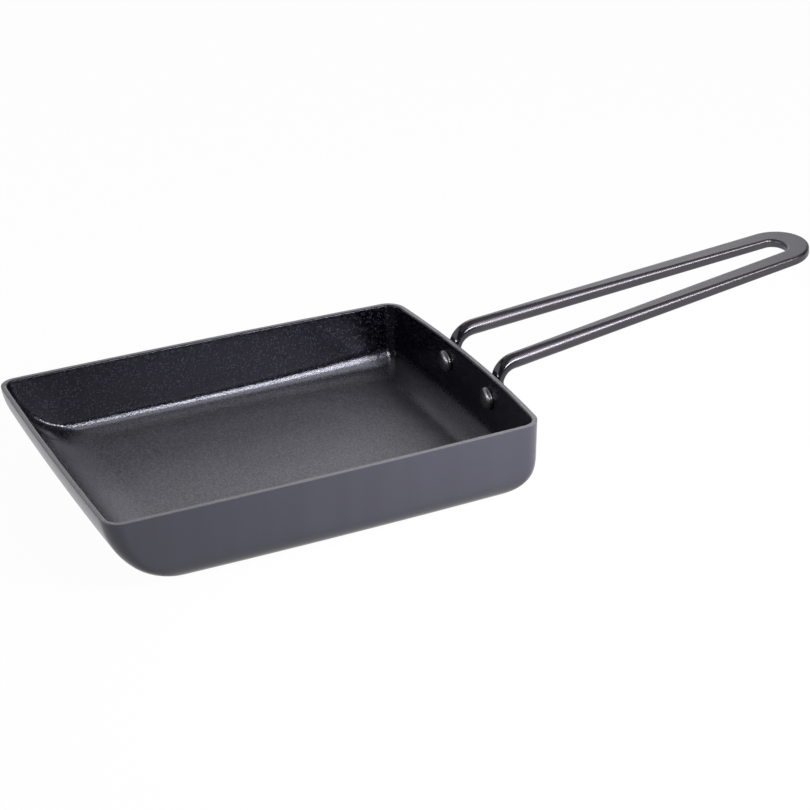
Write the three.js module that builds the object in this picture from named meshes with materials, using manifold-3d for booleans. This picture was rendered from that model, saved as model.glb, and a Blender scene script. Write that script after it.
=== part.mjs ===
// Rectangular omelette pan: a pressed tray with one swept-up end, and a bent rod handle held by two rivets.
// Millimetres, +Z up. The origin is on the table under the middle of the tray; the handle points along +X.
import * as THREE from "three";
import { mergeVertices } from "three/addons/utils/BufferGeometryUtils.js";
import Module from "manifold-3d";

// Tray: size over the rim, wall, and how far each side is bowed outward in plan.
const rimLength = 180;
const rimWidth = 130;
const bodyHeight = 32.4;
const wall = 2.2;
const sideBow = 0.95;
const farEndBow = 1.0;
const handleEndBow = 3.6;
const endTaper = 0.47;

// Tray: wall lean as a slope, outside radii where the walls meet the base, plan corners and rim edge.
const draft = 0.01;
const sideFillet = 10.9;
const handleEndFillet = 15.4;
const farEndFillet = 36.3;
const farEndSlope = 0.109;
const rimCorner = 7;
const baseCorner = 6;
const rimRound = 0.7;

// Rivets: their places on the handle-end wall, and their own sizes.
const rivetSpacing = 37;
const rivetDrop = 10;
const headDiameter = 9.8;
const headHeight = 2.2;
const headEdge = 0.5;
const shankDiameter = 4;
const closingDiameter = 8;
const closingHeight = 1.8;
const holeClearance = 0.3;
const seatGap = 0.3;

// Handle: round rod, bent over the rim, pressed flat toward the loop, and its two riveting pads.
const rodDiameter = 6.6;
const bendRadius = 5.5;
const bendBelowRim = 1.4;
const riseAngle = 6.37;
const gripLength = 157.8;
const loopRadius = 10.8;
const flatWidth = 9.1;
const flatThickness = 3.86;
const roundLength = 3.2;
const pressedFrom = 115;
const padWidth = 10.6;
const padThickness = 3;
const padBelowRivet = 7;
const padAboveRivet = 4.5;

// Facets.
const cornerSteps = 8;
const longSteps = 10;
const endSteps = 8;
const filletSteps = 8;
const wallSteps = 4;
const rimSteps = 3;
const rodFacets = 24;
const gripSteps = 14;
const loopSteps = 20;
const bendSteps = 8;
const padSteps = 6;
const rivetFacets = 32;
const domeSteps = 7;

const halfLength = rimLength / 2;
const halfWidth = rimWidth / 2;
const taper = endTaper / halfWidth;
const rise = THREE.MathUtils.degToRad(riseAngle);
const rivetY = rivetSpacing / 2;

const wasm = await Module();
wasm.setup();

// A closed BufferGeometry as a solid for cutting, and a solid back as a BufferGeometry.
function solidOf(geometry) {
  const bare = geometry.clone();
  bare.deleteAttribute("normal");
  bare.deleteAttribute("uv");
  const merged = mergeVertices(bare, 1e-4);
  const vertProperties = new Float32Array(merged.attributes.position.array);
  const triVerts = new Uint32Array(merged.index.array);
  return new wasm.Manifold(new wasm.Mesh({ numProp: 3, vertProperties, triVerts }));
}

function geometryOf(solid) {
  const { vertProperties, triVerts } = solid.getMesh();
  const geometry = new THREE.BufferGeometry();
  geometry.setAttribute("position", new THREE.BufferAttribute(vertProperties, 3));
  geometry.setIndex(new THREE.BufferAttribute(triVerts, 1));
  geometry.computeVertexNormals();
  return geometry;
}

// A skin over a row of rings with equal point counts, closed at both ends by a fan about the ring's middle.
function loft(rings) {
  const count = rings[0].length;
  const points = rings.flat();
  const index = [];
  rings.slice(1).forEach((ring, r) => {
    ring.forEach((point, j) => {
      const a = r * count + j;
      const b = r * count + ((j + 1) % count);
      index.push(a, b, a + count, b, b + count, a + count);
    });
  });
  const middle = (ring) => ring.reduce((sum, p) => sum.add(p), new THREE.Vector3()).divideScalar(count);
  const last = (rings.length - 1) * count;
  const start = points.push(middle(rings[0])) - 1;
  const end = points.push(middle(rings[rings.length - 1])) - 1;
  for (let j = 0; j < count; j++) {
    const next = (j + 1) % count;
    index.push(start, next, j, end, last + j, last + next);
  }
  return new THREE.BufferGeometry().setFromPoints(points).setIndex(index);
}

// How far a wall has come in at a depth below the rim. It leans by slope and turns into the base on an arc;
// skin moves the face into the metal, so that skin = wall is the inside face.
function inset(depth, fillet, slope, skin) {
  const lean = Math.atan(slope);
  const arcDepth = bodyHeight - fillet;
  const arcIn = slope * arcDepth + fillet / Math.cos(lean);
  const radius = fillet - skin;
  if (depth <= arcDepth + radius * Math.sin(lean)) return slope * depth + skin / Math.cos(lean);
  return arcIn - Math.sqrt(Math.max(radius ** 2 - (depth - arcDepth) ** 2, 0));
}

// One level outline of the tray: a rounded rectangle with bowed sides, a little wider at the far end.
function trayRing(depth, skin) {
  const side = halfWidth - inset(depth, sideFillet, draft, skin);
  const far = inset(depth, farEndFillet, farEndSlope, skin) - halfLength;
  const near = halfLength - inset(depth, handleEndFillet, draft, skin);
  const corner = THREE.MathUtils.lerp(rimCorner, baseCorner, depth / bodyHeight) - skin;
  const middle = (near + far) / 2;
  const reach = (near - far) / 2;
  const bowed = (x, y) => {
    const across = y / side;
    const along = (x - middle) / reach;
    const endBow = along > 0 ? handleEndBow : farEndBow;
    const outX = x + endBow * along * (1 - across ** 2);
    const outY = y + sideBow * across * (1 - along ** 2);
    return new THREE.Vector3(outX, outY * (1 - (taper * x) / halfLength), bodyHeight - depth);
  };
  const ring = [];
  const centreX = [near - corner, far + corner, far + corner, near - corner];
  const centreY = [side - corner, side - corner, corner - side, corner - side];
  centreX.forEach((x, k) => {
    const next = (k + 1) % 4;
    for (let i = 0; i <= cornerSteps; i++) {
      const turn = ((k + i / cornerSteps) * Math.PI) / 2;
      ring.push(bowed(x + corner * Math.cos(turn), centreY[k] + corner * Math.sin(turn)));
    }
    const turn = (next * Math.PI) / 2;
    const steps = k % 2 === 0 ? longSteps : endSteps;
    for (let i = 1; i < steps; i++) {
      const sideX = THREE.MathUtils.lerp(x, centreX[next], i / steps) + corner * Math.cos(turn);
      const sideY = THREE.MathUtils.lerp(centreY[k], centreY[next], i / steps) + corner * Math.sin(turn);
      ring.push(bowed(sideX, sideY));
    }
  });
  return ring;
}

// X of the handle-end wall's straight face, and how far its outward normal is turned from +X, at a given Y.
function wallX(y, depth, skin) {
  const across = y / (1 - taper) / (halfWidth - draft * depth - skin);
  return halfLength - draft * depth - skin + handleEndBow * (1 - across ** 2);
}

const rivetX = wallX(rivetY, rivetDrop, wall);
const seatStep = headDiameter / 2;
const wallFall = wallX(rivetY - seatStep, rivetDrop, 0) - wallX(rivetY + seatStep, rivetDrop, 0);
const wallTurn = Math.atan(wallFall / headDiameter);

// A round cutter through the wall and the pad at one rivet.
function rivetHole(hand) {
  const length = 2 * (wall + padThickness + rodDiameter);
  const bore = shankDiameter / 2 + holeClearance;
  const drill = new THREE.CylinderGeometry(bore, bore, length, rivetFacets);
  drill.rotateZ(Math.PI / 2);
  drill.rotateZ(hand * wallTurn);
  drill.translate(rivetX, hand * rivetY, bodyHeight - rivetDrop);
  return solidOf(drill);
}

// Tray: up the outside from the base, over the rim edge, and down the inside to the floor.
function trayGeometry() {
  const levels = (floor, skin) => {
    const rings = [];
    const radius = sideFillet - skin;
    for (let i = filletSteps; i > 0; i--) {
      const turn = ((i / filletSteps) * Math.PI) / 2;
      rings.push(trayRing(floor - radius * (1 - Math.sin(turn)), skin));
    }
    for (let i = wallSteps; i > 0; i--) {
      rings.push(trayRing(THREE.MathUtils.lerp(rimRound, floor - radius, i / wallSteps), skin));
    }
    return rings;
  };
  const edge = [];
  for (let i = 0; i <= rimSteps; i++) {
    const turn = ((i / rimSteps) * Math.PI) / 2;
    edge.push([rimRound * (1 - Math.sin(turn)), rimRound * (1 - Math.cos(turn))]);
  }
  const outerEdge = edge.map(([depth, back]) => trayRing(depth, back));
  const innerEdge = edge.map(([depth, back]) => trayRing(depth, wall - back)).reverse();
  const outside = levels(bodyHeight, 0);
  const inside = levels(bodyHeight - wall, wall).reverse();
  return loft([...outside, ...outerEdge, ...innerEdge, ...inside]);
}

// Handle: half of its centre line, from the foot of the +Y pad to the tip of the loop. Each station has its
// place, the direction across the rod, its half width, half thickness, and how square its section is.
function handleHalf() {
  const stations = [];
  const padEnd = rivetDrop + padBelowRivet;
  const padTop = rivetDrop - padAboveRivet;
  const round = rodDiameter / 2;
  const across = new THREE.Vector3(-Math.sin(wallTurn), Math.cos(wallTurn), 0);
  const outward = new THREE.Vector3(Math.cos(wallTurn), Math.sin(wallTurn), 0);
  const seat = (depth, halfThick) => {
    const face = new THREE.Vector3(wallX(rivetY, depth, 0), rivetY, bodyHeight - depth);
    return face.addScaledVector(outward, seatGap + halfThick);
  };
  const halfPad = padWidth / 2;
  for (let i = 0; i <= padSteps; i++) {
    const turn = ((0.15 + (0.85 * i) / padSteps) * Math.PI) / 2;
    const place = seat(padEnd - halfPad * (1 - Math.cos(turn)), padThickness / 2);
    stations.push({ place, across, wide: halfPad * Math.sin(turn), thick: padThickness / 2, square: 1 });
  }
  const padRow = seat(padTop, padThickness / 2);
  stations.push({ place: padRow, across, wide: halfPad, thick: padThickness / 2, square: 1 });

  // From the pad the rod narrows over the leg, and thickens over leg and bend under one outer arc.
  const sweep = Math.PI / 2 - rise;
  const legRun = padTop - bendBelowRim;
  const neckRun = legRun + bendRadius * sweep;
  const neck = (run) => {
    const blend = THREE.MathUtils.smoothstep(run, 0, neckRun);
    const wide = THREE.MathUtils.lerp(halfPad, round, THREE.MathUtils.smoothstep(run, 0, legRun));
    return { wide, thick: THREE.MathUtils.lerp(padThickness / 2, round, blend), square: 1 - blend };
  };
  for (let i = 1; i <= padSteps; i++) {
    const run = (legRun * i) / padSteps;
    const section = neck(run);
    stations.push({ place: seat(padTop - run, section.thick), across, ...section });
  }
  const bendCentre = seat(bendBelowRim, bendRadius + round);
  const bendPlace = (turn, thick) => {
    const place = bendCentre.clone().addScaledVector(outward, (thick - bendRadius - round) * Math.cos(turn));
    place.z += (bendRadius + round - thick) * Math.sin(turn);
    return place;
  };

  // The grip lies in a plane that rises from the bend; along runs up it and Y goes across it.
  const bendEnd = bendPlace(sweep, round);
  const along = new THREE.Vector3(Math.cos(rise), 0, Math.sin(rise));
  const loopAlong = gripLength - flatWidth / 2 - loopRadius;
  const toLoop = Math.hypot(loopAlong, bendEnd.y);
  const close = Math.atan2(bendEnd.y, loopAlong) - Math.asin(loopRadius / toLoop);
  const inPlane = (u, y) => new THREE.Vector3(bendEnd.x, y, bendEnd.z).addScaledVector(along, u);
  const tilted = (turn) => along.clone().multiplyScalar(Math.sin(turn)).setY(Math.cos(turn));
  for (let i = 1; i <= bendSteps; i++) {
    const turn = (sweep * i) / bendSteps;
    const section = neck(legRun + bendRadius * turn);
    const turned = across.clone().lerp(tilted(close), i / bendSteps).normalize();
    stations.push({ place: bendPlace(turn, section.thick), across: turned, ...section });
  }
  const pressed = (u) => {
    const blend = THREE.MathUtils.smoothstep(u, roundLength, pressedFrom);
    const wide = THREE.MathUtils.lerp(round, flatWidth / 2, blend);
    return { wide, thick: THREE.MathUtils.lerp(round, flatThickness / 2, blend), square: blend };
  };
  const rodEnd = loopAlong + loopRadius * Math.sin(close);
  for (let i = 1; i <= gripSteps; i++) {
    const u = (rodEnd * i) / gripSteps;
    const y = THREE.MathUtils.lerp(bendEnd.y, loopRadius * Math.cos(close), i / gripSteps);
    stations.push({ place: inPlane(u, y), across: tilted(close), ...pressed(u) });
  }
  for (let i = 1; i <= loopSteps / 2; i++) {
    const turn = THREE.MathUtils.lerp(close, Math.PI / 2, (2 * i) / loopSteps);
    const u = loopAlong + loopRadius * Math.sin(turn);
    const place = inPlane(u, loopRadius * Math.cos(turn));
    stations.push({ place, across: tilted(turn), ...pressed(u) });
  }
  return stations;
}

// Handle: the half and its mirror image as one run of sections, from round to nearly rectangular.
function handleGeometry() {
  const half = handleHalf();
  const flip = new THREE.Vector3(1, -1, 1);
  const mirrored = half.slice(0, -1).reverse();
  const other = mirrored.map((s) => {
    const place = s.place.clone().multiply(flip);
    return { ...s, place, across: s.across.clone().multiply(flip) };
  });
  const run = [...half, ...other];
  const rings = run.map((s, i) => {
    const before = run[Math.max(i - 1, 0)].place;
    const after = run[Math.min(i + 1, run.length - 1)].place;
    const heading = after.clone().sub(before).normalize();
    const wideways = s.across.clone().addScaledVector(heading, -s.across.dot(heading)).normalize();
    const thickways = heading.clone().cross(wideways);
    const power = 2 / (2 + 2.5 * s.square);
    const ring = [];
    for (let j = 0; j < rodFacets; j++) {
      const turn = ((j + 0.5) / rodFacets) * 2 * Math.PI;
      const c = Math.sign(Math.cos(turn)) * Math.abs(Math.cos(turn)) ** power;
      const t = Math.sign(Math.sin(turn)) * Math.abs(Math.sin(turn)) ** power;
      const point = s.place.clone().addScaledVector(wideways, s.wide * c);
      ring.push(point.addScaledVector(thickways, s.thick * t));
    }
    return ring;
  });
  return loft(rings);
}

// Rivet about +X, from the wall's inside face: domed head, shank through wall and pad, closing head.
function rivetGeometry() {
  const profile = [];
  const headFace = -seatGap;
  const closingFace = wall + seatGap + padThickness + seatGap;
  const dome = headHeight - headEdge;
  for (let i = 0; i <= domeSteps; i++) {
    const turn = ((i / domeSteps) * Math.PI) / 2;
    const height = headFace - headEdge - dome * Math.cos(turn);
    profile.push(new THREE.Vector2((headDiameter / 2) * Math.sin(turn), height));
  }
  profile.push(new THREE.Vector2(headDiameter / 2, headFace));
  profile.push(new THREE.Vector2(shankDiameter / 2, headFace));
  profile.push(new THREE.Vector2(shankDiameter / 2, closingFace));
  for (let i = domeSteps; i >= 0; i--) {
    const turn = ((i / domeSteps) * Math.PI) / 2;
    const height = closingFace + closingHeight * Math.cos(turn);
    profile.push(new THREE.Vector2((closingDiameter / 2) * Math.sin(turn), height));
  }
  profile[0].x = 0;
  profile[profile.length - 1].x = 0;
  return new THREE.LatheGeometry(profile, rivetFacets).rotateZ(-Math.PI / 2);
}

const coated = new THREE.MeshStandardMaterial({ color: 0x4a4852, roughness: 0.5, metalness: 0.2 });
const gunmetal = new THREE.MeshStandardMaterial({ color: 0x625f66, roughness: 0.32, metalness: 0.85 });
const darkRivet = new THREE.MeshStandardMaterial({ color: 0x3a393e, roughness: 0.38, metalness: 0.7 });

const pan = new THREE.Group();
const holes = [rivetHole(1), rivetHole(-1)];
const drilled = (geometry) => geometryOf(solidOf(geometry).subtract(holes[0]).subtract(holes[1]));

const tray = new THREE.Mesh(drilled(trayGeometry()), coated);
tray.name = "pan_body";
pan.add(tray);

const handle = new THREE.Mesh(drilled(handleGeometry()), gunmetal);
handle.name = "handle";
pan.add(handle);

for (const [name, hand] of Object.entries({ rivet_left: 1, rivet_right: -1 })) {
  const rivet = new THREE.Mesh(rivetGeometry(), darkRivet);
  rivet.name = name;
  rivet.position.set(rivetX, hand * rivetY, bodyHeight - rivetDrop);
  rivet.rotation.z = hand * wallTurn;
  pan.add(rivet);
}

export default pan;
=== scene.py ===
import math

import bpy
import numpy as np
from mathutils import Matrix, Vector


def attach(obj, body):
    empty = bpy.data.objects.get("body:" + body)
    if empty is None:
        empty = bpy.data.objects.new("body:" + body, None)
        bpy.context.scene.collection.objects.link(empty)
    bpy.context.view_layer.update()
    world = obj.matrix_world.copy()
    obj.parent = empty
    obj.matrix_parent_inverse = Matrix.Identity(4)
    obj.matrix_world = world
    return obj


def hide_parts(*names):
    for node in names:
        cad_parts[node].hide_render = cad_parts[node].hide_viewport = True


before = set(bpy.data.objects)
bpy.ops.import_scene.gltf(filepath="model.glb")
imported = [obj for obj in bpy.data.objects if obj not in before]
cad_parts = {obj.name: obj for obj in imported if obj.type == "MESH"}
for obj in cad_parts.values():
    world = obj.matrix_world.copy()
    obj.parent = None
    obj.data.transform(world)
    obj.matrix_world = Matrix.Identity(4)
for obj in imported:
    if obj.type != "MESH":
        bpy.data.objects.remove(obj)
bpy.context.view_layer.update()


# Tray.
# One sheet of aluminium pressed to a tray with upright sides and one swept-up end, its rim ground
# flat. It has a baked granular non-stick coat inside and a smooth satin one outside.
rim_length, rim_width, tray_height, wall = 0.180, 0.130, 0.0324, 0.0022
side_bow, far_bow, handle_bow, end_taper = 0.00095, 0.0010, 0.0036, 0.00047
draft, side_fillet, handle_fillet = 0.01, 0.0109, 0.0154
far_fillet, far_slope = 0.0363, 0.109
rim_corner, base_corner, outer_edge, inner_edge = 0.0070, 0.0060, 0.0003, 0.0007

# The pressing is less even inside: toward the handle the fillets of the long sides grow, and at the
# floor the far corners are rounder and the handle-end ones tighter than outside.
tight_fillet, full_fillet = 0.0094, 0.0149
growth_start, growth_run, growth_power = -0.060, 0.135, 3.3
handle_corner_growth, far_corner_growth, corner_tuck = -0.0018, 0.0060, 0.0060


def mix(a, b, t):
    """The value a share t of the way from a to b."""
    return a + (b - a) * t


def wall_inset(depth, fillet, slope, skin):
    """How far a wall has come in at a depth below the rim; skin moves the face into the metal."""
    lean = math.atan(slope)
    arc_depth = tray_height - fillet
    arc_in = slope * arc_depth + fillet / math.cos(lean)
    radius = fillet - skin
    if depth <= arc_depth + radius * math.sin(lean):
        return slope * depth + skin / math.cos(lean)
    return arc_in - math.sqrt(max(radius**2 - (depth - arc_depth) ** 2, 0))


def inner_side_fillet(x):
    """The fillet inside a long side, taken at the outside face: tight at the far end, then full."""
    reach = min(max((x - growth_start) / growth_run, 0.0), 1.0)
    return mix(tight_fillet, full_fillet, reach**growth_power)


def tray_outline(depth, skin, shrink=1.0):
    """One level outline of the tray, counter-clockwise: a rounded rectangle with bowed sides."""
    side = rim_width / 2 - wall_inset(depth, side_fillet, draft, skin)
    far = wall_inset(depth, far_fillet, far_slope, skin) - rim_length / 2
    near = rim_length / 2 - wall_inset(depth, handle_fillet, draft, skin)
    corner = rim_corner + (base_corner - rim_corner) * depth / tray_height - skin
    growth = skin / wall * (depth / tray_height) ** 2
    near_radius = corner + handle_corner_growth * growth
    far_radius = corner + far_corner_growth * growth
    corners = [(near - near_radius, side - near_radius, near_radius),
               (far + far_radius, side - far_radius, far_radius),
               (far + far_radius, far_radius - side, far_radius),
               (near - near_radius, near_radius - side, near_radius)]
    points = []
    for k, (cx, cy, radius) in enumerate(corners):
        turns = (k + np.linspace(0, 1, 15)) * math.pi / 2
        points += [(cx + radius * math.cos(t), cy + radius * math.sin(t)) for t in turns]
        last = points[-1]
        cx, cy, radius = corners[(k + 1) % 4]
        first = (cx + radius * math.cos(turns[-1]), cy + radius * math.sin(turns[-1]))
        for t in np.linspace(0, 1, 41 if k % 2 == 0 else 31)[1:-1]:
            points.append((mix(last[0], first[0], t), mix(last[1], first[1], t)))
    x, y = np.array(points).T
    across = y / side
    along = (x - (near + far) / 2) / ((near - far) / 2)

    # The uneven fillets move the walls; the high powers keep the end's share in its corners.
    fillets = [side_fillet + (inner_side_fillet(spot) - side_fillet) * skin / wall for spot in x]
    insets = np.array([wall_inset(depth, fillet, draft, skin) for fillet in fillets])
    y = across * (rim_width / 2 - insets)
    end_fillets = handle_fillet - corner_tuck * skin / wall * across**6
    end_insets = np.array([wall_inset(depth, fillet, draft, skin) for fillet in end_fillets])
    x = x + (rim_length / 2 - near - end_insets) * np.clip(along, 0, 1) ** 8

    taper = 1 - end_taper / (rim_width / 2) * x / (rim_length / 2)
    bowed_x = x + np.where(along > 0, handle_bow, far_bow) * along * (1 - across**2)
    bowed_y = (y + side_bow * across * (1 - along**2)) * taper
    level = np.full(len(x), tray_height - depth)
    return np.column_stack([bowed_x * shrink, bowed_y * shrink, level])


def skin_over(name, rings, finishes, finish_of_band=None):
    """A smooth closed mesh over rings of equal point counts, with a fan at each end."""
    count = len(rings[0])
    middles = [np.mean(ring, axis=0, keepdims=True) for ring in (rings[0], rings[-1])]
    points = np.vstack(rings + middles)
    start, end = len(points) - 2, len(points) - 1
    last = (len(rings) - 1) * count
    faces, bands = [], []
    for r in range(len(rings) - 1):
        for j in range(count):
            a, b = r * count + j, r * count + (j + 1) % count
            faces.append((a, b, b + count, a + count))
            bands.append(r)
    for j in range(count):
        following = (j + 1) % count
        faces += [(start, following, j), (end, last + j, last + following)]
        bands += [0, len(rings) - 2]
    mesh = bpy.data.meshes.new(name)
    mesh.from_pydata([tuple(p) for p in points], [], faces)
    for finish in finishes:
        mesh.materials.append(finish)
    if finish_of_band:
        mesh.polygons.foreach_set("material_index", [finish_of_band[b] for b in bands])
    mesh.polygons.foreach_set("use_smooth", [True] * len(faces))
    piece = bpy.data.objects.new(name, mesh)
    bpy.context.scene.collection.objects.link(piece)
    return piece


class Wire:
    """One shader socket. Arithmetic on it adds Math nodes; node() adds any other node."""

    def __init__(self, tree, socket=None):
        self.tree, self.socket = tree, socket

    def node(self, kind, settings=None, inputs=None, out=0):
        made = self.tree.nodes.new(kind)
        for key, value in (settings or {}).items():
            if key == "stops":
                for stop, (position, shade) in zip(made.color_ramp.elements, value):
                    stop.position, stop.color = position, (*shade, 1.0)
            else:
                setattr(made, key, value)
        for key, value in (inputs or {}).items():
            if isinstance(value, Wire):
                self.tree.links.new(value.socket, made.inputs[key])
            else:
                made.inputs[key].default_value = value
        return Wire(self.tree, made.outputs[out] if len(made.outputs) else None)

    def maths(self, operation, first, second):
        return self.node("ShaderNodeMath", {"operation": operation}, {0: first, 1: second})

    def __add__(self, other):
        return self.maths("ADD", self, other)

    def __sub__(self, other):
        return self.maths("SUBTRACT", self, other)

    def __mul__(self, other):
        return self.maths("MULTIPLY", self, other)

    __radd__, __rmul__ = __add__, __mul__

    def __rsub__(self, other):
        return self.maths("SUBTRACT", other, self)


def new_finish(name):
    """An empty node material, with the wire that its nodes are made from."""
    made = bpy.data.materials.new(name)
    made.use_nodes = True
    made.node_tree.nodes.clear()
    return made, Wire(made.node_tree)


def end_finish(w, inputs):
    """Ends a finish: one shader with these inputs, joined to the material's output."""
    shader = w.node("ShaderNodeBsdfPrincipled", {}, inputs)
    w.node("ShaderNodeOutputMaterial", {}, {"Surface": shader})


def cloudy(place, scale, detail, roughness):
    """A soft uneven shade, 0 to 1, with about that many clouds in a metre."""
    return place.node("ShaderNodeTexNoise", {}, {
        "Vector": place, "Scale": scale, "Detail": detail, "Roughness": roughness})


def grainy(place, scale, out):
    """Random grains, so many in a metre: each one's own Color, or Distance from its middle."""
    return place.node("ShaderNodeTexVoronoi", {}, {"Vector": place, "Scale": scale}, out=out)


def tinted(amount, first, second):
    """The first colour where the amount is 0, the second where it is 1."""
    return amount.node("ShaderNodeMix", {"data_type": "RGBA"},
                       {0: amount, 6: first, 7: second}, out=2)


def relief(height, strength, distance):
    """A bumpy surface from a height of 0 to 1."""
    return height.node("ShaderNodeBump", {}, {
        "Strength": strength, "Distance": distance, "Height": height})


def fade(value, full, none):
    """1 where the value has reached full, 0 where it has reached none, eased between."""
    low, high = min(full, none), max(full, none)
    at_low, at_high = (1.0, 0.0) if full < none else (0.0, 1.0)
    return value.node("ShaderNodeMapRange", {"interpolation_type": "SMOOTHSTEP"}, {
        "Value": value, "From Min": low, "From Max": high, "To Min": at_low, "To Max": at_high})


# Inside coat: nearly black resin full of fine grains, some glossy and some dull, so its highlights
# sparkle, with a few paler flecks. It is rubbed dull on the floor, at the foot of the far slope and
# along the fillet at the handle end, and painted a lighter grey there: painted light, standing in
# for the light that the floor and that fillet catch.
grain_scale, fleck_scale = 2700.0, 1800.0
rub_depth, rubbed_dullness = 0.9, 0.52

granular_coat, w = new_finish("granular_coat")
place = w.node("ShaderNodeTexCoord", out="Object")
along, beside, height = [
    w.node("ShaderNodeSeparateXYZ", {}, {0: place}, out=axis) for axis in "XYZ"]
off_middle = beside * beside

far_slope_face = (fade(along, -0.058, -0.040) * fade(off_middle, 0.0024, 0.0034)
                  * fade(height, 0.003, 0.014))
handle_end_face = (0.9 * fade(along, 0.088, 0.075) * fade(off_middle, 0.0029, 0.0036)
                   * fade(height, 0.006, 0.0125))
level_face = w.maths("MAXIMUM", fade(height, 0.0024, 0.0052), far_slope_face)
# Painted light: where this mask reaches 1 the coat is painted the lighter floor grey, and made
# duller.
rubbed_and_painted_light = w.maths("MAXIMUM", level_face * fade(along, 0.060, 0.098), handle_end_face)

grains = grainy(place, grain_scale, "Color")
grain_dullness = w.node("ShaderNodeMapRange", {}, {
    "Value": grains, "From Min": 0.45, "From Max": 0.78, "To Min": 0.10, "To Max": 0.25})
dullness = grain_dullness + rubbed_and_painted_light * rub_depth * (rubbed_dullness - grain_dullness)

flecks = fade(grainy(place, fleck_scale, "Color"), 0.84, 0.66)
coat_shade = tinted(flecks, (0.0006, 0.0006, 0.0018, 1), (0.025, 0.0245, 0.035, 1))
patches, speckle = cloudy(place, 45.0, 3.0, 0.5), cloudy(place, 1500.0, 1.0, 0.5)
mottle = 0.25 * patches + 0.75 * fade(speckle, 0.66, 0.38)
# Painted light: the floor grey, lighter than the walls for the light the floor catches, with
# mottle.
painted_light_floor_colour = tinted(mottle, (0.024, 0.023, 0.028, 1), (0.100, 0.098, 0.111, 1))

grain_domes = 1.0 - grainy(place, grain_scale, "Distance")
end_finish(w, {
    "Base Color": tinted(rubbed_and_painted_light, coat_shade, painted_light_floor_colour), "Roughness": dullness, "IOR": 1.63,
    "Specular Tint": (0.85, 0.84, 1.0, 1), "Normal": relief(grain_domes, 0.65, 0.00005)})

# Outside coat: smooth satin blue-grey, with faint upright draw marks and a very fine peel.
satin_coat, w = new_finish("satin_coat")
place = w.node("ShaderNodeTexCoord", out="Object")
upright = w.node("ShaderNodeVectorMath", {"operation": "MULTIPLY"}, {
    0: place, 1: (90.0, 90.0, 6.0)})
draw_marks, peel = cloudy(upright, 1.0, 3.0, 0.55), cloudy(place, 900.0, 2.0, 0.5)
satin_colour = tinted(draw_marks, (0.057, 0.056, 0.075, 1), (0.071, 0.070, 0.094, 1))
end_finish(w, {
    "Base Color": satin_colour, "Roughness": 0.20 + 0.10 * draw_marks, "IOR": 1.36,
    "Normal": relief(peel, 0.12, 0.0001)})

# Rim edge: ground after coating, so thin coat over metal, with bright chips where it is bare.
ground_rim, w = new_finish("ground_rim")
place = w.node("ShaderNodeTexCoord", out="Object")
scratch, chip_field = cloudy(place, 420.0, 4.0, 0.65), cloudy(place, 260.0, 2.0, 0.5)
chips = w.node("ShaderNodeValToRGB", {"stops": [(0.745, (0, 0, 0)), (0.78, (1, 1, 1))]}, {
    "Fac": chip_field})
rim_shade = tinted(scratch, (0.09, 0.089, 0.100, 1), (0.17, 0.168, 0.185, 1))
end_finish(w, {
    "Base Color": tinted(chips, rim_shade, (0.62, 0.62, 0.63, 1)),
    "Roughness": 0.36 + 0.2 * scratch, "Metallic": 0.25 + 0.6 * chips,
    "Normal": relief(scratch, 0.35, 0.00012)})

# Rings from the middle of the underside up the outside, over the edge and down to the floor.
base_shrinks = (0.25, 0.6, 0.985)
outside, edge, inside = [], [], []
for shrink in base_shrinks:
    outside.append(tray_outline(tray_height, 0, shrink))
for turn in np.linspace(1, 0, 21)[:-1] * math.pi / 2:
    outside.append(tray_outline(tray_height - side_fillet * (1 - math.sin(turn)), 0))
for depth in np.linspace(tray_height - side_fillet, outer_edge, 12)[:-1]:
    outside.append(tray_outline(depth, 0))
for turn in np.linspace(0, 1, 7) * math.pi / 2:
    depth, skin = outer_edge * (1 - math.sin(turn)), outer_edge * (1 - math.cos(turn))
    edge.append(tray_outline(depth, skin))
for turn in np.linspace(1, 0, 7) * math.pi / 2:
    depth, skin = inner_edge * (1 - math.sin(turn)), wall - inner_edge * (1 - math.cos(turn))
    edge.append(tray_outline(depth, skin))
for depth in np.linspace(inner_edge, tray_height - full_fillet, 10)[1:]:
    inside.append(tray_outline(depth, wall))
for turn in np.linspace(0, 1, 31)[1:] * math.pi / 2:
    lift = (full_fillet - wall) * (1 - math.sin(turn))
    inside.append(tray_outline(tray_height - wall - lift, wall))
for shrink in reversed(base_shrinks):
    inside.append(tray_outline(tray_height - wall, wall, shrink))

# Grinding left the top of the edge a little wavy.
waver, waver_drop = 0.00004, 0.00009
round_rim = np.linspace(0, 2 * math.pi, len(edge[0]), endpoint=False)
waves = (np.sin(23 * round_rim) + 0.7 * np.sin(41 * round_rim + 1.3)
         + 0.5 * np.sin(67 * round_rim + 0.4))
for ring in edge[3:11]:
    ring[:, 2] += waver * waves - waver_drop

rings = outside + edge + inside
ground_from, ground_to = len(outside) + 1, len(outside) + 8
bands = [0 if r < ground_from else 1 if r < ground_to else 2 for r in range(len(rings) - 1)]
tray = skin_over("tray", rings, [satin_coat, ground_rim, granular_coat], bands)
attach(tray, "root")
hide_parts("pan_body")


# Handle.
# One steel rod, plated dark, bent to a long U: round at the tray, pressed flatter toward the loop.
# Each end turns down over the rim and is flattened to a pad on the outside of the end wall.
rod, bend_radius, bend_drop, rise = 0.0066, 0.0072, 0.0029, math.radians(6.37)
grip_length, loop_radius, flat_wide, flat_thick = 0.1563, 0.0108, 0.0091, 0.0037
round_length, lean_in, tip_swell = 0.0085, 0.0008, 0.0007
pad_wide, pad_thick, pad_below, pad_above, pad_edge = 0.0106, 0.0030, 0.0070, 0.0045, 0.0011
rivet_y, rivet_drop, seat_gap = 0.0185, 0.0100, 0.0003


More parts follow.
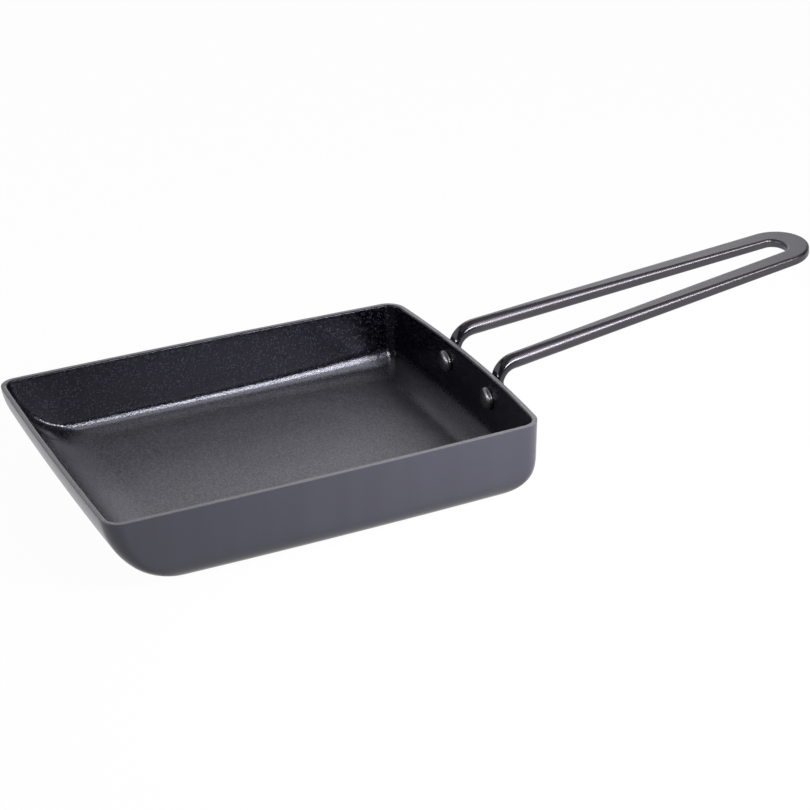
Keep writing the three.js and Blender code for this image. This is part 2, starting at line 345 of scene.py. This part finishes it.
def end_wall(y, depth, skin):
    """X of the tray's handle-end wall above its fillet."""
    across = y / (1 - end_taper / (rim_width / 2)) / (rim_width / 2 - draft * depth - skin)
    return rim_length / 2 - draft * depth - skin + handle_bow * (1 - across**2)


half_span = 0.005
span_ends = [end_wall(rivet_y + dy, rivet_drop, 0) for dy in (-half_span, half_span)]
wall_turn = math.atan((span_ends[0] - span_ends[1]) / (2 * half_span))
outward = Vector((math.cos(wall_turn), math.sin(wall_turn), 0))
sideways = Vector((-math.sin(wall_turn), math.cos(wall_turn), 0))


def ease(t):
    """0 to 1 with a soft start and end."""
    t = min(max(t, 0.0), 1.0)
    return t * t * (3 - 2 * t)


def on_wall(depth, half_thick):
    """The middle of the rod where it lies on the wall at a depth, a seat's gap clear of it."""
    face = Vector((end_wall(rivet_y, depth, 0), rivet_y, tray_height - depth))
    return face + outward * (seat_gap + half_thick)


# Stations of the rod from the foot of one pad to the tip of the loop: place, direction across, half
# width, half thickness and edge radius.
stations = []
half_pad, half_rod = pad_wide / 2, rod / 2
for t in np.linspace(0.10, 1, 14):
    reach = math.sin(t * math.pi / 2)
    depth = rivet_drop + pad_below - half_pad * (1 - math.cos(t * math.pi / 2))
    foot = on_wall(depth, pad_thick / 2)
    stations.append((foot, sideways, half_pad * reach, pad_thick / 2, pad_edge * reach))
pad_top = rivet_drop - pad_above
leg = pad_top - bend_drop
sweep = math.pi / 2 - rise
neck = leg + bend_radius * sweep


def leaning(run):
    """How far the leg has leaned in after a run above its pad."""
    return Vector((0, -lean_in * ease(run / neck), 0))


def neck_section(run):
    """Half width, half thickness and edge radius, from the flat pad to the round rod."""
    blend = ease(run / neck)
    wide = mix(half_pad, half_rod, ease(run / leg))
    return wide, mix(pad_thick / 2, half_rod, blend), mix(pad_edge, half_rod, blend)


for t in np.linspace(0, 1, 12):
    run = leg * t
    wide, thick, corner = neck_section(run)
    stations.append((on_wall(pad_top - run, thick) + leaning(run), sideways, wide, thick, corner))
bend_centre = on_wall(bend_drop, bend_radius + half_rod)


def bend_place(turn, thick):
    """The middle of the rod in the bend, after a turn from the upright leg."""
    reach = bend_radius + half_rod - thick
    return (bend_centre - outward * (reach * math.cos(turn))
            + Vector((0, 0, reach * math.sin(turn))))


bend_end = bend_place(sweep, half_rod) + leaning(neck)
uphill = Vector((math.cos(rise), 0, math.sin(rise)))
loop_along = grip_length - flat_wide / 2 - loop_radius
loop_far = math.hypot(loop_along, bend_end.y)
close = math.atan2(bend_end.y, loop_along) - math.asin(loop_radius / loop_far)


def grip_place(u, y):
    """A point of the grip's sloping plane, u up the slope from the bends."""
    return Vector((bend_end.x, y, bend_end.z)) + uphill * u


def grip_across(turn):
    """The direction across the rod in the grip's plane."""
    return uphill * math.sin(turn) + Vector((0, math.cos(turn), 0))


def grip_section(u):
    """Half width, half thickness and edge radius: pressed evenly thinner from bend to loop tip."""
    press = min(max((u - round_length) / (grip_length - round_length), 0.0), 1.0)
    thick = mix(half_rod, flat_thick / 2, press)
    return mix(half_rod, flat_wide / 2, press**1.5), thick, thick * (1 - 0.5 * press**0.7)


for t in np.linspace(0, 1, 21)[1:]:
    run = leg + bend_radius * sweep * t
    wide, thick, corner = neck_section(run)
    across = sideways.lerp(grip_across(close), t).normalized()
    stations.append((bend_place(sweep * t, thick) + leaning(run), across, wide, thick, corner))
rod_end = loop_along + loop_radius * math.sin(close)
for t in np.linspace(0, 1, 61)[1:]:
    y = mix(bend_end.y, loop_radius * math.cos(close), t)
    stations.append((grip_place(rod_end * t, y), grip_across(close), *grip_section(rod_end * t)))
for t in np.linspace(0, 1, 29)[1:]:
    turn, swell = mix(close, math.pi / 2, t), tip_swell * ease(t)
    u = loop_along + (loop_radius - swell) * math.sin(turn)
    y = (loop_radius - swell) * math.cos(turn)
    wide, thick, corner = grip_section(u)
    stations.append((grip_place(u, y), grip_across(turn), wide + swell, thick, corner))
flip = Matrix.Diagonal((1, -1, 1))
stations += [(flip @ p, flip @ a, *section) for p, a, *section in reversed(stations[:-1])]
least_flat, flat_inner = 0.00004, 0.88


def rod_ring(i):
    """The rod's section at one station: flats above and below, rounded edges."""
    middle, across, wide, thick, corner = stations[i]
    before, after = stations[max(i - 1, 0)][0], stations[min(i + 1, len(stations) - 1)][0]
    heading = (after - before).normalized()
    across = (across - heading * across.dot(heading)).normalized()
    normal = heading.cross(across)
    corner = min(corner, thick - least_flat / 2, wide - least_flat)
    ring = []
    for k, (sx, sy) in enumerate(((1, 1), (-1, 1), (-1, -1), (1, -1))):
        cx, cy = sx * (wide - corner), sy * (thick - corner)
        for t in np.linspace(0, 1, 7):
            turn = (k + t) * math.pi / 2
            ring.append((cx + corner * math.cos(turn), cy + corner * math.sin(turn)))
        if k % 2 == 0:
            ring += [(cx * inner, sy * thick) for inner in (flat_inner, -flat_inner)]
    return np.array([middle + across * x + normal * y for x, y in ring])


# Handle finish: dark plated steel, drawn to a rod, so fine marks run along it; smoother at the
# bends, where its colour is also painted darker: painted shade.
gunmetal, w = new_finish("gunmetal")
place = w.node("ShaderNodeTexCoord", out="Object")
lengthwise = w.node("ShaderNodeVectorMath", {"operation": "MULTIPLY"}, {
    0: place, 1: (40.0, 1200.0, 1200.0)})
drawn, cloud = cloudy(lengthwise, 1.0, 3.0, 0.6), cloudy(place, 70.0, 3.0, 0.55)
plate_colour = tinted(cloud, (0.073, 0.070, 0.079, 1), (0.091, 0.087, 0.098, 1))
at_bend = fade(w.node("ShaderNodeSeparateXYZ", {}, {0: place}, out="X"), 0.098, 0.108)
# Painted shade: the plate colour is darkened toward black at the bends.
painted_shade_bend_colour = tinted(0.30 * at_bend, plate_colour, (0.018, 0.018, 0.022, 1))
plate_dullness = (0.29 + 0.07 * drawn + 0.06 * cloud) * (1.0 - 0.55 * at_bend)
end_finish(w, {
    "Base Color": painted_shade_bend_colour, "Metallic": 1.0, "Roughness": plate_dullness,
    "Normal": relief(drawn, 0.05, 0.00002)})

handle = skin_over("handle_rod", [rod_ring(i) for i in range(len(stations))], [gunmetal])
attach(handle, "root")
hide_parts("handle")


# Rivets.
# Two dark steel rivets set cold from the inside: a low domed head on the coat, a shank through the
# wall and the handle's pad, and a closing head formed on the pad.
head_wide, head_high, head_edge, head_break, head_sink = 0.0098, 0.0027, 0.0005, 0.00012, 0.00008
closing_wide, closing_high, closing_edge = 0.0080, 0.0018, 0.00025
closing_break, closing_sink = 0.00015, 0.00006
shank, crown, out_of_level = 0.0040, 0.06, 0.0004

dark_rivet, w = new_finish("dark_rivet")
place = w.node("ShaderNodeTexCoord", out="Object")
pits = cloudy(place, 900.0, 3.0, 0.6)
rivet_colour = tinted(pits, (0.12, 0.12, 0.128, 1), (0.30, 0.30, 0.31, 1))
end_finish(w, {
    "Base Color": rivet_colour, "Metallic": 1.0, "Roughness": 0.20 + 0.20 * pits,
    "Normal": relief(pits, 0.3, 0.00012)})

# Half of the rivet's section, as radius and place along its axis from the wall's inside face.
head_radius, closing_radius, pad_face = head_wide / 2, closing_wide / 2, wall + seat_gap + pad_thick
profile = []
for t in np.linspace(crown, 1, 16) * math.pi / 2:
    dome = (head_high - head_edge) * math.cos(t)
    profile.append((head_radius * math.sin(t), -head_edge - dome))
profile += [(head_radius, -head_edge * 0.5), (head_radius - head_break, head_sink)]
profile += [(shank / 2, head_sink), (shank / 2, pad_face - closing_sink)]
profile += [(closing_radius - closing_break, pad_face - closing_sink)]
for t in np.linspace(1, crown, 14) * math.pi / 2:
    dome = (closing_high - closing_edge) * math.cos(t)
    profile.append((closing_radius * math.sin(t), pad_face + closing_edge + dome))

turns = np.linspace(0, 2 * math.pi, 48, endpoint=False)
for name, node, hand in (("rivet_far", "rivet_left", 1), ("rivet_near", "rivet_right", -1)):
    axis = Vector((outward.x, outward.y * hand, 0))
    level = Vector((-axis.y, axis.x, 0))
    seat_height = tray_height - rivet_drop + hand * out_of_level
    seat = Vector((end_wall(rivet_y, rivet_drop, wall), hand * rivet_y, seat_height))
    rings = []
    for radius, out in profile:
        spokes = [level * (radius * math.cos(t)) + Vector((0, 0, radius * math.sin(t)))
                  for t in turns]
        rings.append(np.array([seat + axis * out + spoke for spoke in spokes]))
    rivet = skin_over(name, rings, [dark_rivet])
    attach(rivet, "root")
    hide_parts(node)


# Studio.
# A white table that keeps the pan's shadow, and a white card curved round behind it, in a dim room.
# Soft panels light it: a narrow and a broad one in front, two behind, one at the left, one above.
table_reach, table_level, card_radius, card_height = 40.0, -0.0002, 2.4, 1.2

table_top, w = new_finish("table_top")
camera_ray, glossy_ray, clear_ray = [
    w.node("ShaderNodeLightPath", out="Is %s Ray" % kind)
    for kind in ("Camera", "Glossy", "Transmission")]
white_rays = w.maths("MAXIMUM", w.maths("MAXIMUM", camera_ray, glossy_ray), clear_ray)
table_cloth = w.node("ShaderNodeBsdfDiffuse", {}, {"Color": (0.16, 0.16, 0.16, 1)})
table_lit = w.node("ShaderNodeBsdfDiffuse", {}, {"Color": (0.90, 0.90, 0.90, 1)})
table_white = w.node("ShaderNodeEmission", {}, {"Color": (1, 1, 1, 1), "Strength": 1.0})
table_seen = w.node("ShaderNodeMixShader", {}, {0: 0.97, 1: table_lit, 2: table_white})
table_shader = w.node("ShaderNodeMixShader", {}, {0: white_rays, 1: table_cloth, 2: table_seen})
w.node("ShaderNodeOutputMaterial", {}, {"Surface": table_shader})


def staged(name, points, faces):
    """A white sheet that is no part of the pan."""
    mesh = bpy.data.meshes.new(name)
    mesh.from_pydata(points, [], faces)
    mesh.materials.append(table_top)
    sheet = bpy.data.objects.new(name, mesh)
    bpy.context.scene.collection.objects.link(sheet)


table_corners = [(sx * table_reach, sy * table_reach, table_level)
                 for sx, sy in ((-1, -1), (1, -1), (1, 1), (-1, 1))]
staged("table", table_corners, [(0, 1, 2, 3)])
card_foot = [(card_radius * math.sin(t), card_radius * math.cos(t), table_level)
             for t in np.radians(np.linspace(-70, 80, 31))]
card_top = [(x, y, card_height) for x, y, z in card_foot]
count = len(card_foot)
card_faces = [(k, k + 1, k + 1 + count, k + count) for k in range(count - 1)]
staged("card", card_foot + card_top, card_faces)

room = bpy.data.worlds.new("room")
bpy.context.scene.world = room
room.use_nodes = True
room.node_tree.nodes.clear()
w = Wire(room.node_tree)
room_light = w.node("ShaderNodeBackground", {}, {"Color": (1, 1, 1, 1), "Strength": 0.115})
w.node("ShaderNodeOutputWorld", {}, {"Surface": room_light})


def soft_panel(name, place, target, size, radiance):
    """A lamp of that size in metres, aimed at a point, and radiance times as bright as white."""
    lamp = bpy.data.lights.new(name, "AREA")
    lamp.shape, lamp.size, lamp.size_y = "RECTANGLE", size[0], size[1]
    lamp.energy = radiance * math.pi * size[0] * size[1]
    panel = bpy.data.objects.new(name, lamp)
    panel.location = place
    panel.rotation_euler = (Vector(place) - Vector(target)).to_track_quat("Z", "Y").to_euler()
    panel.visible_camera = False
    bpy.context.scene.collection.objects.link(panel)


soft_panel("front_panel", (0.20, -0.24, 0.17), (0.12, 0.0, 0.02), (0.32, 0.0455), 33.0)
soft_panel("upper_front_panel", (0.19, -0.37, 0.47), (0.05, 0.0, 0.02), (0.32, 0.24), 3.0)
soft_panel("back_panel", (0.72, 1.45, 0.86), (0.05, 0.0, 0.03), (0.85, 0.70), 2.10)
soft_panel("back_left_panel", (-0.05, 1.45, 1.20), (0.08, 0.0, 0.02), (0.7, 0.4), 1.0)
soft_panel("left_panel", (-0.90, 0.05, 0.09), (0.09, 0.0, 0.03), (0.9, 0.12), 13.0)
soft_panel("ceiling_panel", (0.1, 0.2, 1.6), (0.1, 0.2, 0.0), (3.0, 3.0), 0.31)


# Camera.
# A long lens, looking down along the tray from its far corner, as in the photograph. Its focal
# length is in pixels of a square picture.
eye = Vector((-0.291803, -0.699974, 0.418534))
azimuth, elevation, roll = math.radians(-26.829), math.radians(27.108), math.radians(0.218)
sensor, focal_pixels, picture_pixels = 36.0, 2136.4, 810

forward = Vector((-math.sin(azimuth) * math.cos(elevation),
                  math.cos(azimuth) * math.cos(elevation), -math.sin(elevation)))
level_right = forward.cross(Vector((0, 0, 1))).normalized()
level_up = level_right.cross(forward)
right = level_right * math.cos(roll) + level_up * math.sin(roll)
up = right.cross(forward)
lens = bpy.data.cameras.new("camera")
lens.sensor_width, lens.lens = sensor, sensor * focal_pixels / picture_pixels
camera = bpy.data.objects.new("camera", lens)
camera.matrix_world = Matrix((
    (right.x, up.x, -forward.x, eye.x), (right.y, up.y, -forward.y, eye.y),
    (right.z, up.z, -forward.z, eye.z), (0, 0, 0, 1)))
bpy.context.scene.collection.objects.link(camera)
bpy.context.scene.camera = camera
bpy.context.scene.view_settings.view_transform = "Standard"
